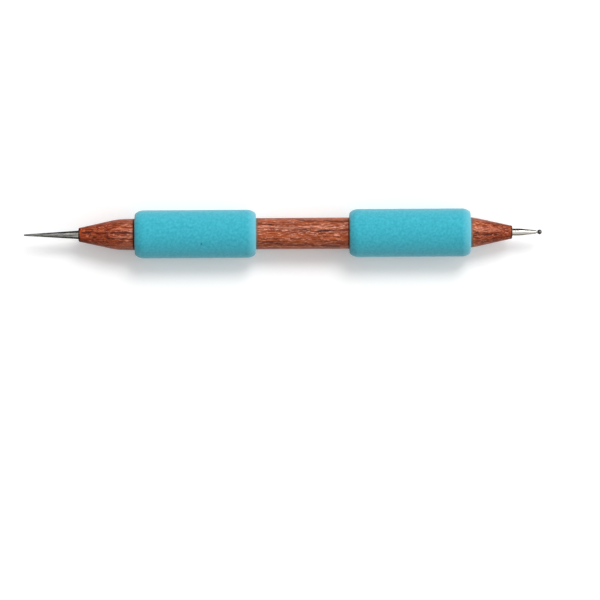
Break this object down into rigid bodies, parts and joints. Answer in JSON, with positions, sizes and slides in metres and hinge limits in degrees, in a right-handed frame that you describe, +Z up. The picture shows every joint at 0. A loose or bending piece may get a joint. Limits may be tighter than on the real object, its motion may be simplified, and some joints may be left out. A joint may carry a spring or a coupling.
{
  "type": "pottery needle tool",
  "caption": "Double-ended pottery hand tool: tapered wooden handle with a steel needle at one end, a ball stylus at the other, and foam grip sleeves that slide along it.",
  "frame": {"origin": "on the surface that the tool lies on, under the middle of its whole length and under its axis", "axes": "+X along the tool's axis from the needle towards the ball, +Z up from the surface, +Y to the far side"},
  "size_m": [0.165, 0.0154, 0.0154],
  "materials": {
    "rosewood": "satin",
    "foam": "matte",
    "needle_steel": "satin",
    "stylus_steel": "polished",
    "glue": "gloss"
  },
  "bodies": {
    "tool": {"handle": "rosewood", "needle": "needle_steel", "needle_glue": "glue", "stylus_shaft": "stylus_steel", "stylus_ball": "stylus_steel", "stylus_glue": "glue"},
    "needle_sleeve": {"needle_side_grip": "foam"},
    "ball_sleeve": {"ball_side_grip": "foam"}
  },
  "joints": [
    {"name": "needle_sleeve_slide", "type": "slide", "parent": "tool", "child": "needle_sleeve", "axis": [1, 0, 0], "range_m": [-0.01785, 0.0147]},
    {"name": "ball_sleeve_slide", "type": "slide", "parent": "tool", "child": "ball_sleeve", "axis": [1, 0, 0], "range_m": [-0.0147, 0.0132]}
  ]
}
